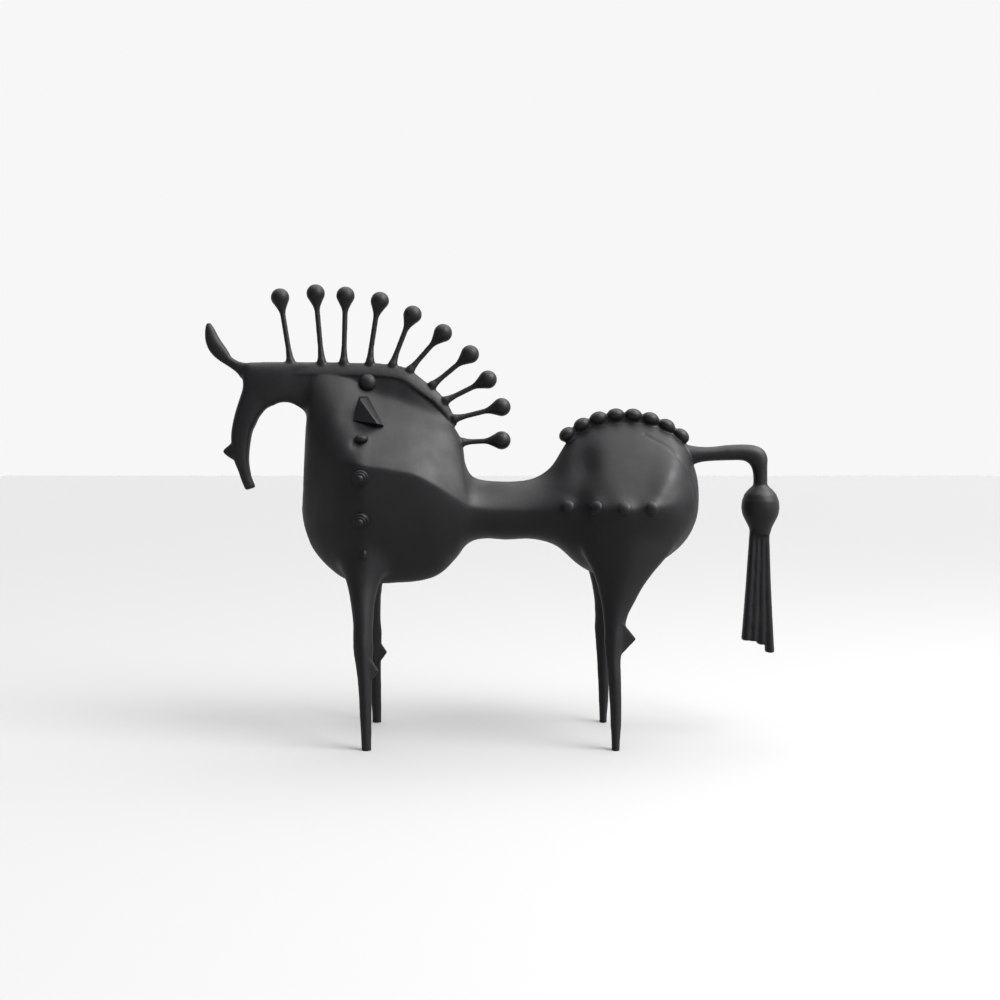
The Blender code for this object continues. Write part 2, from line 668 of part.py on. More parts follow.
def run_together(forms, grain):
    """One skin around all the forms, as cast metal has."""
    rough = bpy.data.objects.new("rough", make_mesh("rough", forms))
    bpy.context.scene.collection.objects.link(rough)
    skin = rough.modifiers.new("run_together", 'REMESH')
    skin.mode = 'VOXEL'
    skin.voxel_size = grain
    graph = bpy.context.evaluated_depsgraph_get()
    mesh = bpy.data.meshes.new_from_object(rough.evaluated_get(graph))
    bpy.data.objects.remove(rough, do_unlink=True)
    return mesh


def ease(mesh, rounds, zones=()):
    """Draws the skin smooth: all of it, or within round zones given as centre and radius."""
    count = len(mesh.vertices)
    places = np.empty(count * 3)
    mesh.vertices.foreach_get("co", places)
    places = places.reshape(count, 3)
    edges = np.empty(len(mesh.edges) * 2, dtype=np.int64)
    mesh.edges.foreach_get("vertices", edges)
    first, second = edges.reshape(-1, 2).T
    neighbours = np.bincount(first, minlength=count) + np.bincount(second, minlength=count)
    weight = np.full(count, 0.0 if zones else EASE_PULL)
    for centre, radius in zones:
        distance = np.linalg.norm(places - np.array(centre), axis=1) / radius
        weight = np.maximum(weight, EASE_PULL * np.clip(1.0 - distance ** 2, 0.0, 1.0))
    for _ in range(rounds):
        total = np.zeros_like(places)
        for axis in range(3):
            total[:, axis] += np.bincount(first, places[second, axis], count)
            total[:, axis] += np.bincount(second, places[first, axis], count)
        places += weight[:, None] * (total / neighbours[:, None] - places)
    mesh.vertices.foreach_set("co", places.ravel())
    mesh.update()


def joint_zones():
    """Where legs, head and tail flow out of the body."""
    zones = []
    for place, outwards, radius in BLEND_PLACES:
        for side in (-1.0, 1.0):
            centre = (share(place[0]), side * outwards * STANCE_WIDTH / 2.0, share(place[1]))
            zones.append((centre, share(radius)))
    return zones


def build():
    """The casting: all forms run together into one skin, rounded where they meet."""
    for old in list(bpy.data.objects):
        bpy.data.objects.remove(old, do_unlink=True)
    parts = bpy.data.collections.new("metal_horse")
    cutters = bpy.data.collections.new("cutters")
    for collection in (parts, cutters):
        bpy.context.scene.collection.children.link(collection)

    core = run_together([
        body_form(),
        crest_form(
            CREST_WEB_TOP, CREST_WEB_FOOT, CREST_WEB_WIDTH, CREST_WEB_WIDEST, CREST_WEB_SQUARENESS),
        ribbed_form(HEAD_RIBS, HEAD_THICKNESS, HEAD_SQUARENESS),
    ] + leg_forms(), CORE_GRAIN)
    ease(core, BLEND_ROUNDS, joint_zones())
    core_form = bmesh.new()
    core_form.from_mesh(core)

    forms = ornament_forms(BVHTree.FromBMesh(core_form))
    forms += [
        core_form,
        ribbed_form(NOSE_RIBS, HEAD_THICKNESS, 1.0),
        ribbed_form(EAR_RIBS, EAR_THICKNESS, 1.0),
        crest_form(0.0, CREST_BAND_HEIGHT, CREST_BAND_WIDTH, CREST_WIDEST, CREST_SQUARENESS),
    ]
    forms += spur_forms() + mane_forms() + bead_forms() + tail_forms()
    skin = run_together(forms, GRAIN)
    ease(skin, SMOOTHING_ROUNDS)
    skin.name = "horse"

    horse = bpy.data.objects.new("horse", skin)
    parts.objects.link(horse)
    skin.materials.clear()
    skin.materials.append(black_metal())
    skin.shade_smooth()

    facets = horse.modifiers.new("facets", 'DECIMATE')
    facets.ratio = FACET_COUNT / (2.0 * len(skin.polygons))
    feet = horse.modifiers.new("flat_feet", 'BOOLEAN')
    feet.operation = 'DIFFERENCE'
    feet.solver = 'EXACT'
    feet.object = ground_cutter(cutters)


build()
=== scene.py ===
"""The look of a slim, stylised horse cast in one piece of blackened metal.

The horse stands in the frame of its CAD solid, facing -X, with its feet on the ground at
z = 0. Its pose and profiles are shares of its own length, in percent.
"""

import math

import bmesh
import bpy
import numpy as np
from mathutils import Matrix, Vector
from mathutils.bvhtree import BVHTree


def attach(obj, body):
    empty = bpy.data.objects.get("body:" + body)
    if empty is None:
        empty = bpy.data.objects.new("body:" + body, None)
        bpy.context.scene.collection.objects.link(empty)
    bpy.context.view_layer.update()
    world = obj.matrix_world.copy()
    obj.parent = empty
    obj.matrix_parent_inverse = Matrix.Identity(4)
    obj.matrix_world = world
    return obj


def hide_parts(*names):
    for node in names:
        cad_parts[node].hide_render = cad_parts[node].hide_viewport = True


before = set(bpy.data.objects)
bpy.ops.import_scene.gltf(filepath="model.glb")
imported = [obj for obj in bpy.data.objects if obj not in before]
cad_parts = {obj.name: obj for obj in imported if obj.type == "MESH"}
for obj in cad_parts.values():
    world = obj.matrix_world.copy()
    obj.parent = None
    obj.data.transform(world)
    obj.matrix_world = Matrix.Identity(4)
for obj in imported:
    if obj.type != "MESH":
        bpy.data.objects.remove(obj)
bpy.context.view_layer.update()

# Driving dimensions, in metres
HORSE_LENGTH = 0.459
STANCE_WIDTH = 0.092
CHEST_WIDTH = 0.100
WAIST_WIDTH = 0.046
RUMP_WIDTH = 0.108
HEAD_THICKNESS = 0.017
EAR_THICKNESS = 0.009
FOOT_THICKNESS = 0.0085
CREST_BAND_HEIGHT = 0.0120
CREST_BAND_WIDTH = 0.0132
CREST_WEB_TOP = 0.0070
CREST_WEB_FOOT = 0.0330
CREST_WEB_WIDTH = 0.0116
MANE_STEM_DIAMETER = 0.0044
MANE_BALL_DIAMETER = 0.0148
RUMP_BEAD_LENGTH = 0.0142
RUMP_BEAD_HEIGHT = 0.0108
RUMP_BEAD_COUNT = 8
WEB_THICKNESS = 0.0050
FLANK_STUD_DIAMETER = 0.0112
FLANK_STUD_HEIGHT = 0.0035
CHEST_STUD_DIAMETER = 0.0125
CHEST_STUD_HEIGHT = 0.0068
CHEST_BOSS_DIAMETER = 0.0140
CHEST_BOSS_HEIGHT = 0.0055
THORN_HEIGHT = 0.0120
NUB_DIAMETER = 0.0105
DOT_DIAMETER = 0.0048
TAIL_BAR_THICKNESS = 0.012
TAIL_BALL_DIAMETER = 0.0300
TASSEL_STRAND_DIAMETER = 0.0074
TASSEL_THICKNESS = 0.0115
SPUR_THICKNESS = 0.0065

# How finely the cast surface is built
CORE_GRAIN = 0.0013
BLEND_ROUNDS = 77
GRAIN = 0.0008
FACET_COUNT = 190000
SMOOTHING_ROUNDS = 4
EASE_PULL = 0.5
SIDES = 96
ROUND_SIDES = 48
DOME_STEPS = 12
STEPS = 12
SHARP_ANGLE = 38.0
SEAM = 1e-5
FINE_SEAM = 1e-6
# How deep ornaments are sunk in the skin, and how far the thorn's foot stands out of it
SINK = 0.004
THORN_FOOT = 0.0005

# The body, front to back, in percent of the length: top, widest line and bottom as x and z,
# then the share of the local width, how sharply the section turns above and below its widest
# line, and how far it is drawn in under the spine
BODY_FRONT = (
    (-32.0, 60.6, -32.8, 44.4, -33.2, 38.9, 0.06, 1.0, 1.0, 1.0),
    (-31.9, 63.2, -32.5, 46.0, -32.6, 35.9, 0.22, 1.1, 1.0, 1.1),
    (-31.2, 64.4, -31.3, 47.6, -31.2, 32.4, 0.39, 1.2, 1.05, 1.2),
    (-28.8, 64.6, -28.9, 47.9, -28.9, 29.5, 0.62, 1.3, 1.1, 1.3),
    (-25.9, 64.3, -26.0, 47.7, -26.0, 27.2, 0.84, 1.45, 1.15, 1.4),
    (-23.6, 63.4, -23.6, 47.4, -23.4, 26.4, 0.955, 1.6, 1.2, 1.35),
    (-22.0, 62.2, -22.0, 47.2, -21.7, 26.3, 1.00, 1.75, 1.2, 1.2),
    (-20.2, 61.2, -20.2, 46.9, -19.7, 26.3, 0.985, 1.8, 1.2, 1.15),
    (-17.2, 60.3, -17.0, 46.4, -16.3, 26.4, 0.95, 1.8, 1.25, 1.15),
    (-13.6, 59.0, -13.0, 45.6, -12.2, 26.9, 0.89, 1.8, 1.25, 1.15),
    (-10.2, 57.4, -9.6, 43.8, -8.9, 28.3, 0.80, 1.75, 1.2, 1.15),
    (-7.4, 55.8, -6.7, 41.9, -6.2, 31.0, 0.69, 1.65, 1.15, 1.3),
    (-5.3, 51.2, -4.9, 40.6, -4.7, 33.0, 0.60, 1.5, 1.1, 1.15),
    (-4.7, 47.4, -3.6, 40.0, -3.1, 34.0, 0.54, 1.45, 1.1, 1.0),
)
BODY_WAIST = (
    (-3.2, 45.0, -1.7, 39.6, -0.8, 34.3, 1.08, 1.4, 1.1, 1.0),
    (0.8, 44.3, 1.6, 39.3, 2.4, 34.1, 1.00, 1.4, 1.1, 1.0),
    (6.3, 44.6, 6.6, 39.2, 7.0, 34.2, 1.00, 1.45, 1.1, 1.0),
)
BODY_RUMP = (
    (10.0, 46.7, 11.1, 39.3, 11.1, 33.0, 0.51, 1.5, 1.1, 1.1),
    (12.9, 51.1, 14.9, 39.4, 14.7, 29.8, 0.64, 1.6, 1.15, 1.0),
    (15.4, 53.0, 17.6, 39.5, 17.6, 28.2, 0.84, 1.8, 1.15, 0.93),
    (18.6, 54.4, 20.4, 39.7, 21.4, 27.9, 0.96, 1.9, 1.15, 0.95),
    (22.9, 54.9, 23.0, 39.8, 25.3, 28.2, 1.00, 1.9, 1.15, 0.95),
    (28.4, 54.2, 24.8, 39.9, 29.2, 30.2, 1.00, 1.75, 1.15, 0.95),
    (33.0, 51.1, 25.8, 39.9, 33.0, 33.3, 1.00, 1.35, 1.15, 0.95),
    (35.4, 45.9, 26.4, 39.9, 35.1, 36.9, 1.00, 1.2, 1.1, 1.0),
    (35.8, 40.7, 26.6, 39.9, 35.8, 40.7, 1.00, 1.1, 1.1, 1.0),
)

# Flat pieces as ribs, each from one edge of the outline to the other as x, z, x, z, then the
# share of the thickness
HEAD_RIBS = (
    (-28.3, 64.6, -28.0, 54.1, 0.62),
    (-33.5, 65.0, -33.2, 56.5, 0.74),
    (-37.9, 65.0, -36.0, 58.1, 0.94),
    (-41.2, 65.0, -38.1, 57.5, 1.00),
    (-42.8, 64.8, -39.4, 56.9, 0.98),
    (-43.5, 63.3, -40.1, 56.1, 0.96),
    (-43.4, 60.9, -40.7, 55.3, 0.94),
    (-43.9, 59.0, -41.2, 54.2, 0.92),
    (-44.7, 56.5, -41.8, 52.9, 0.88),
    (-45.3, 53.9, -42.1, 51.4, 0.84),
    (-45.5, 51.6, -42.3, 49.9, 0.78),
    (-45.1, 48.3, -42.4, 47.8, 0.70),
    (-44.2, 45.9, -42.1, 45.6, 0.60),
    (-43.7, 44.4, -41.8, 44.6, 0.56),
    (-43.0, 42.7, -41.2, 43.2, 0.52),
)
NOSE_RIBS = (
    (-45.0, 51.5, -43.6, 47.2, 0.60),
    (-45.9, 50.6, -45.4, 48.1, 0.42),
    (-46.5, 50.1, -46.3, 48.7, 0.28),
    (-46.9, 49.7, -46.9, 49.2, 0.14),
)
EAR_RIBS = (
    (-42.8, 61.6, -41.2, 64.9, 1.00),
    (-43.7, 62.1, -42.6, 64.9, 0.80),
    (-44.5, 63.1, -43.9, 65.1, 0.66),
    (-45.5, 63.9, -44.8, 65.5, 0.62),
    (-46.4, 64.5, -45.5, 66.0, 0.66),
    (-47.5, 65.2, -46.0, 66.9, 0.78),
    (-48.6, 66.1, -46.6, 67.8, 0.92),
    (-49.5, 67.3, -47.3, 68.8, 1.00),
    (-50.0, 68.7, -47.9, 69.8, 0.96),
    (-50.1, 70.1, -48.4, 70.8, 0.80),
    (-50.0, 71.2, -48.8, 71.4, 0.56),
    (-49.8, 71.8, -49.1, 71.9, 0.30),
)
TAIL_RIBS = (
    (31.3, 51.3, 31.3, 46.4, 1.10),
    (34.2, 50.6, 34.4, 47.0, 1.05),
    (36.2, 50.3, 36.4, 47.6, 1.00),
    (38.4, 50.3, 38.4, 47.8, 1.00),
    (41.1, 50.6, 41.1, 47.9, 1.00),
    (43.9, 50.7, 43.4, 47.9, 1.00),
    (45.8, 50.5, 44.5, 47.5, 1.00),
    (47.2, 49.8, 45.1, 46.8, 1.00),
    (47.9, 48.5, 45.4, 45.9, 1.00),
    (47.9, 46.9, 45.5, 45.0, 1.00),
    (47.9, 44.5, 45.5, 44.1, 1.00),
    (47.9, 41.9, 45.5, 41.9, 1.00),
)

# Legs from the body down: height, front edge and rear edge in percent, then how far out the
# leg has come as a share of the way to the foot, and its thickness as a share of the foot's
FORE_LEG = (
    (35.9, -27.0, -16.0, 0.30, 5.2),
    (33.1, -26.9, -16.4, 0.34, 4.7),
    (29.6, -26.2, -17.5, 0.45, 3.5),
    (26.9, -25.1, -18.9, 0.55, 2.8),
    (24.1, -24.4, -19.5, 0.65, 2.4),
    (20.8, -23.8, -19.8, 0.75, 2.0),
    (16.4, -23.4, -19.9, 0.85, 1.65),
    (11.3, -22.6, -20.1, 0.92, 1.25),
    (5.6, -22.2, -20.1, 0.97, 1.10),
    (1.0, -21.9, -20.1, 1.00, 1.0),
    (-1.0, -21.8, -20.1, 1.00, 1.0),
)
HIND_LEG = (
    (41.4, 14.5, 34.0, 0.54, 5.4),
    (38.1, 14.6, 33.2, 0.59, 5.5),
    (35.7, 14.8, 31.6, 0.59, 5.3),
    (32.2, 15.1, 30.2, 0.60, 4.7),
    (29.3, 16.5, 27.8, 0.61, 4.0),
    (26.4, 17.4, 25.6, 0.65, 3.2),
    (24.1, 17.9, 24.3, 0.69, 2.6),
    (21.5, 18.3, 22.8, 0.75, 2.1),
    (18.3, 18.5, 22.2, 0.82, 1.7),
    (14.8, 18.8, 21.4, 0.89, 1.35),
    (11.3, 19.1, 21.4, 0.95, 1.15),
    (5.6, 19.4, 21.4, 0.98, 1.05),
    (1.0, 19.6, 21.1, 1.00, 1.0),
    (-1.0, 19.6, 21.0, 1.00, 1.0),
)
# Where limbs and crest flow out of the body: x and z, how far out, and how far around
BLEND_PLACES = (
    ((-21.5, 28.0), 0.45, 12.0),
    ((22.0, 30.5), 0.55, 13.5),
    ((-33.4, 57.5), 0.0, 4.5),
    ((-18.5, 58.8), 0.1, 4.5),
    ((-12.5, 57.2), 0.1, 5.0),
    ((-8.4, 54.2), 0.1, 3.5),
)
# Thorns behind the knee and the hock: root above, root below and tip as x, z
SPUR_ROOT_SHARE = 1.0
SPUR_TIP_SHARE = 0.32
KNEE_SPUR = ((-20.6, 15.2), (-20.6, 10.8), (-19.0, 12.9))
HOCK_SPUR = ((21.8, 20.8), (20.9, 15.0), (24.0, 18.1))

# The crest's top edge as x and z, and its share of the full width and depth
CREST_EDGE = (
    (-40.2, 65.1, 1.0), (-33.5, 65.1, 1.0), (-25.9, 65.0, 1.0), (-18.9, 64.8, 1.0),
    (-14.9, 64.0, 0.98), (-11.8, 61.8, 0.94), (-9.1, 59.6, 0.84), (-7.3, 57.0, 0.64),
    (-6.1, 54.0, 0.34),
)
# The mane's pins: where each leaves the crest and its ball's centre as x, z, x, z, then how
# far the stem bows forwards
MANE_PINS = (
    (-35.2, 65.2, -37.0, 76.3, 0.0),
    (-29.75, 65.2, -30.8, 77.0, 0.0),
    (-25.9, 65.2, -25.6, 76.6, 0.0),
    (-21.3, 65.2, -19.6, 75.7, 0.3),
    (-17.3, 64.8, -13.9, 73.3, 0.2),
    (-14.2, 63.8, -8.6, 70.1, 0.1),
    (-10.3, 61.1, -3.9, 66.4, 0.0),
    (-8.0, 58.4, -0.8, 62.0, 0.0),
    (-6.4, 55.2, 1.6, 57.2, 0.0),
    (-5.0, 51.1, 1.6, 51.4, 0.0),
)
# A stem from its flared root up: radius as a share of the stem's, height as a share of the reach
MANE_STEM_ROWS = ((1.7, -0.07), (1.7, 0.0), (1.3, 0.07), (1.0, 0.22))
# How the stem widens into its ball: radius and depth below the centre as shares of the ball's
MANE_BALL_ROWS = ((0.30, 1.85), (0.40, 1.40), (0.62, 0.95))

# The rump's beads stand on an arc: first angle from upright, and pitch, in degrees
BEAD_CENTRE = (22.8, 40.2)
BEAD_RADIUS = 15.68
BEAD_FIRST_ANGLE = -38.6
BEAD_PITCH = 11.25
# How far up the beads the web between them reaches, as a share of half their height
WEB_TOP = 0.2

# The sides of the drawn-out sections: 1 is an oval, less is squarer, more is sharper
OVAL = 1.0
LEG_SQUARENESS = 1.45
HEAD_SQUARENESS = 0.75
CREST_SQUARENESS = 1.5
CREST_WEB_SQUARENESS = 0.6
# How far down the crest's band and its web are widest
CREST_WIDEST = 0.90
CREST_WEB_WIDEST = 0.5

# Ornaments down the shoulder and along the flank, as x and z
BOSS_PLACE = (-21.6, 61.4)
# The thorn's foot, and its ridges with their heights as shares
THORN_CORNERS = ((-22.9, 58.9), (-23.6, 54.7), (-18.5, 53.7), (-21.5, 58.9))
THORN_RIDGE = (
    (-22.5, 58.3, 0.85), (-19.5, 54.2, 0.50), (-21.7, 58.7, 0.55), (-18.6, 54.0, 0.30),
)
NUB_PLACE = (-22.0, 51.6)
CHEST_STUD_PLACES = ((-21.9, 45.1), (-22.0, 38.0))
DOT_PLACE = (-21.6, 32.2)
NUB_PROUD = 0.7
DOT_TALL = 1.5
FLANK_STUD_FIRST = (12.7, 40.1)
FLANK_STUD_PITCH = 4.5
FLANK_STUD_COUNT = 4
# A ringed stud: radius and height as shares, up to where its round button begins
STUD_RING_ROWS = (
    (1.0, 0.25), (0.92, 0.36), (0.78, 0.36), (0.76, 0.62), (0.70, 0.68), (0.56, 0.66),
)
STUD_BUTTON = 0.50

# The ball of the tail as height and share of its diameter, and the tassel's centre lines
TAIL_BALL_X = 46.7
TAIL_BALL_PROFILE = (
    (43.9, 0.30), (43.4, 0.44), (42.8, 0.64), (42.0, 0.84), (40.8, 0.97), (39.6, 1.00),
    (38.4, 0.93), (37.3, 0.77), (36.2, 0.60), (35.0, 0.50),
)
# A strand's width and depth at its top, as shares of those at its foot
TASSEL_TOP_WIDTH = 0.62
TASSEL_TOP_DEPTH = 0.8
TASSEL_LINES = (
    ((45.4, 36.1), (44.85, 26.5), (44.2, 16.6)),
    ((46.2, 36.1), (45.85, 26.5), (45.5, 16.5)),
    ((47.0, 36.1), (46.9, 26.5), (46.9, 15.9)),
    ((47.7, 36.1), (47.85, 26.5), (48.3, 14.5)),
)

# Shallow hollows and swellings of the skin: centre, reach, turn in degrees, height in metres.
# The last four lie under the flank studs
HOLLOWS = (
    ((15.4, 47.2), (3.4, 5.6), -14.0, -0.0066),
    ((-25.0, 56.0), (1.9, 3.4), -15.0, -0.0012),
    ((-23.0, 50.9), (1.1, 1.3), 0.0, -0.0022),
    ((12.7, 40.2), (2.1, 2.0), 0.0, 0.0026),
    ((17.2, 40.2), (2.1, 2.0), 0.0, 0.0026),
    ((21.7, 40.2), (2.1, 2.0), 0.0, 0.0026),
    ((26.2, 40.2), (2.1, 2.0), 0.0, 0.0026),
)
# Fine creases and ridges: a line of places, width in percent, height in metres
CREASES = (
    (((26.2, 52.4), (30.0, 50.2), (32.6, 47.0), (34.0, 43.5), (34.4, 40.6)), 0.28, -0.0007),
)
# How steeply a hollow fades towards its edge
MOUND_FALL = 2.0

# The finish: its tones, roughness and index of refraction
BLACK_TONES = ((0.0050, 0.0050, 0.0058, 1.0), (0.0068, 0.0067, 0.0075, 1.0))
BLACK_ROUGHNESS = (0.42, 0.54)
BLACK_IOR = 1.5
# Scale and detail of the noise in its tone and in its roughness, and the noise's usual span
TONE_NOISE = (22.0, 4.0)
ROUGHNESS_NOISE = (60.0, 5.0)
NOISE_SPAN = (0.3, 0.7)
# Its gloss falls from one value to the other as the skin turns away
GLOSS_TURN = (0.6, 0.95)
GLOSS = (0.165, 0.08)
# Its waves and its grain: noise scale and detail, bump strength and distance
BLACK_WAVES = (70.0, 2.0, 0.5, 0.0006)
BLACK_GRAIN = (900.0, 4.0, 0.35, 0.00012)
# Painted shade beside the thorn, a dull patch that darkens the skin there, as x and z in metres:
# its middle and reach, its fading out from the middle, its straight edge and how soft that is, and
# how dull it is
SHADE_PATCH_MIDDLE = (-0.0985, 0.2545)
SHADE_PATCH_REACH = (0.0100, 0.0140)
SHADE_PATCH_FADE = (1.7, 0.5)
SHADE_PATCH_EDGE_POINT = (-0.1033, 0.2676)
SHADE_PATCH_EDGE_FACING = (-0.795, -0.607)
SHADE_PATCH_EDGE_SOFTNESS = 0.0008
SHADE_PATCH_STRENGTH = 0.93

# The studio and the camera, in metres
FLOOR_REACH = 8.0
FLOOR_TONES = ((0.204, 0.204, 0.204, 1.0), (0.212, 0.212, 0.212, 1.0))
FLOOR_ROUGHNESS = 0.8
FLOOR_NOISE_SCALE = 3.0
SENSOR_WIDTH = 0.036
EYE_PLACE = (-0.0099, 0.2322)
EYE_DISTANCE = 0.951
VIEW_WIDTH = 0.8
VIEW_SHIFT = (0.02, -0.055)
# The room's light, each as a direction, the cosines between which it grows, and its ends
ROOM = (
    ((0.0, 1.0, 0.0), -0.3, 0.6, 0.22, 0.93),
    ((0.25, 0.0, 1.0), 0.62, 0.9, 0.0, 5.4),
    ((0.9, -0.3, 0.3), 0.45, 0.95, 0.0, 1.2),
)
# The soft panel over the rump: watts, side, place and what it points at
PANEL_POWER = 25.0
PANEL_SIDE = 0.8
PANEL_PLACE = (0.84, -0.50, 0.96)
PANEL_TARGET = (0.14, 0.0, 0.20)
# The lamp: watts a square metre, apparent size in degrees, and where it shines from
KEY_POWER = 2.1
KEY_SPREAD = 26.0
KEY_DIRECTION = (0.60, -0.22, 0.76)
KEY_COLOUR = (1.0, 0.99, 0.98)


def share(percent):
    """Turns a share of the horse's length into metres."""
    return HORSE_LENGTH * percent / 100.0


def smooth_rows(rows, steps):
    """Runs a smooth curve through rows of numbers and returns more rows."""
    result = []
    last = len(rows) - 1
    for index in range(last):
        before = rows[max(index - 1, 0)]
        here = rows[index]
        there = rows[index + 1]
        after = rows[min(index + 2, last)]
        for step in range(steps):
            t = step / steps
            weights = (
                -0.5 * t + t * t - 0.5 * t ** 3,
                1.0 - 2.5 * t * t + 1.5 * t ** 3,
                0.5 * t + 2.0 * t * t - 1.5 * t ** 3,
                -0.5 * t * t + 0.5 * t ** 3,
            )
            values = zip(before, here, there, after)
            result.append(tuple(sum(w * v for w, v in zip(weights, four)) for four in values))
    result.append(tuple(rows[last]))
    return result


def power(value, exponent):
    """Raises the size of a number to a power and keeps its sign."""
    return math.copysign(abs(value) ** exponent, value)


def section(top, middle, bottom, half_width, side, squareness=(1.0, 1.0), pinch=1.0):
    """One closed ring: an oval through a top, a widest and a bottom point in the horse's plane."""
    ring = []
    for index in range(SIDES):
        angle = 2.0 * math.pi * index / SIDES
        along = math.cos(angle)
        if along >= 0.0:
            place = middle.lerp(top, power(along, squareness[0]))
            across = power(math.sin(angle), squareness[0] * pinch)
        else:
            place = middle.lerp(bottom, power(-along, squareness[1]))
            across = power(math.sin(angle), squareness[1])
        ring.append(Vector((place.x, side + half_width * across, place.y)))
    return ring


def loft(rings, closed_end=False):
    """A closed skin over a row of rings, with flat ends unless the last ring closes itself."""
    form = bmesh.new()
    loops = [[form.verts.new(point) for point in ring] for ring in rings]
    for first, second in zip(loops, loops[1:]):
        for index in range(SIDES):
            following = (index + 1) % SIDES
            form.faces.new((first[index], first[following], second[following], second[index]))
    form.faces.new(loops[0])
    if not closed_end:
        form.faces.new(loops[-1])
    bmesh.ops.remove_doubles(form, verts=form.verts, dist=SEAM)
    bmesh.ops.dissolve_degenerate(form, edges=form.edges, dist=FINE_SEAM)
    bmesh.ops.recalc_face_normals(form, faces=form.faces)
    return form


def body_form():
    """Chest, waist and rump as one swelling and narrowing skin."""
    rows = []
    for stations, width in (
        (BODY_FRONT, CHEST_WIDTH),
        (BODY_WAIST, WAIST_WIDTH),
        (BODY_RUMP, RUMP_WIDTH),
    ):
        for station in stations:
            places = tuple(share(value) for value in station[:6])
            rows.append(places + (station[6] * width / 2.0,) + station[7:])
    last = rows[-2]
    turned_over = last[4:6] + last[2:4] + last[0:2] + last[6:]
    rings = []
    for row in smooth_rows(rows + [turned_over], STEPS)[:-STEPS]:
        top = Vector(row[0:2])
        middle = Vector(row[2:4])
        bottom = Vector(row[4:6])
        rings.append(section(top, middle, bottom, row[6], 0.0, row[7:9], row[9]))
    return loft(rings, closed_end=True)


def ribbed_form(ribs, thickness, squareness):
    """A bar whose two edges follow an outline, from ribs in percent."""
    rings = []
    for row in smooth_rows(ribs, STEPS):
        top = Vector((share(row[0]), share(row[1])))
        bottom = Vector((share(row[2]), share(row[3])))
        middle = (top + bottom) / 2.0
        half_width = row[4] * thickness / 2.0
        rings.append(section(top, middle, bottom, half_width, 0.0, (squareness, squareness)))
    return loft(rings)


def leg_form(rows, side):
    """One leg, from inside the body to below the ground, where it is cut flat."""
    rings = []
    for height, front, rear, outwards, thickness in smooth_rows(rows, STEPS):
        top = Vector((share(front), share(height)))
        bottom = Vector((share(rear), share(height)))
        half = thickness * FOOT_THICKNESS / 2.0
        place = side * outwards * STANCE_WIDTH / 2.0
        middle = (top + bottom) / 2.0
        turn = (LEG_SQUARENESS, LEG_SQUARENESS)
        rings.append(section(top, middle, bottom, half, place, turn))
    return loft(rings)


def side_at(height, rows):
    """How far out a leg is at a height, in metres."""
    for upper, lower in zip(rows, rows[1:]):
        if upper[0] >= height >= lower[0]:
            t = (upper[0] - height) / (upper[0] - lower[0])
            return (upper[3] + t * (lower[3] - upper[3])) * STANCE_WIDTH / 2.0
    return STANCE_WIDTH / 2.0


def spur_form(outline, rows, side):
    """A small thorn on the back of a leg."""
    above, below, tip = outline
    place = side * side_at(tip[1], rows)
    form = bmesh.new()
    corners = ((above, SPUR_ROOT_SHARE), (below, SPUR_ROOT_SHARE), (tip, SPUR_TIP_SHARE))
    for corner, part in corners:
        half = part * SPUR_THICKNESS / 2.0
        for y in (place - half, place + half):
            form.verts.new((share(corner[0]), y, share(corner[1])))
    bmesh.ops.convex_hull(form, input=form.verts)
    return form


def turned_form(profile, matrix):
    """A solid turned about its own z axis, from radius and height, foot first, then placed."""
    form = bmesh.new()
    loops = []
    for radius, height in profile:
        loop = []
        for index in range(ROUND_SIDES):
            angle = 2.0 * math.pi * index / ROUND_SIDES
            place = (radius * math.cos(angle), radius * math.sin(angle), height)
            loop.append(form.verts.new(place))
        loops.append(loop)
    for first, second in zip(loops, loops[1:]):
        for index in range(ROUND_SIDES):
            following = (index + 1) % ROUND_SIDES
            form.faces.new((first[index], first[following], second[following], second[index]))
    form.faces.new(loops[0])
    form.faces.new(loops[-1])
    bmesh.ops.remove_doubles(form, verts=form.verts, dist=FINE_SEAM)
    bmesh.ops.recalc_face_normals(form, faces=form.faces)
    form.transform(matrix)
    return form


def ball_form(place, size, turn=Matrix.Identity(4)):
    """A round or stretched ball, turned by a rotation."""
    form = bmesh.new()
    stretch = Matrix.Diagonal((size[0] / 2.0, size[1] / 2.0, size[2] / 2.0, 1.0))
    matrix = Matrix.Translation(place) @ turn @ stretch
    rows = ROUND_SIDES // 2
    bmesh.ops.create_uvsphere(
        form, u_segments=ROUND_SIDES, v_segments=rows, radius=1.0, matrix=matrix)
    return form


def leaning(place, angle):
    """A frame at a place in the horse's plane, its z axis leaning back by an angle."""
    return Matrix.Translation(place) @ Matrix.Rotation(angle, 4, 'Y')


def crest_form(top, foot, width, widest, squareness):
    """A bar along the neck's top, standing on edge: the raised band or the web under it."""
    rings = []
    rows = smooth_rows(CREST_EDGE, STEPS)
    for index, row in enumerate(rows):
        before = Vector(rows[max(index - 1, 0)][:2])
        after = Vector(rows[min(index + 1, len(rows) - 1)][:2])
        inwards = -(after - before).normalized().orthogonal()
        edge = Vector((share(row[0]), share(row[1])))
        upper = edge + inwards * row[2] * top
        lower = edge + inwards * row[2] * foot
        half_width = row[2] * width / 2.0
        turn = (squareness, squareness)
        rings.append(section(upper, upper.lerp(lower, widest), lower, half_width, 0.0, turn))
    return loft(rings)


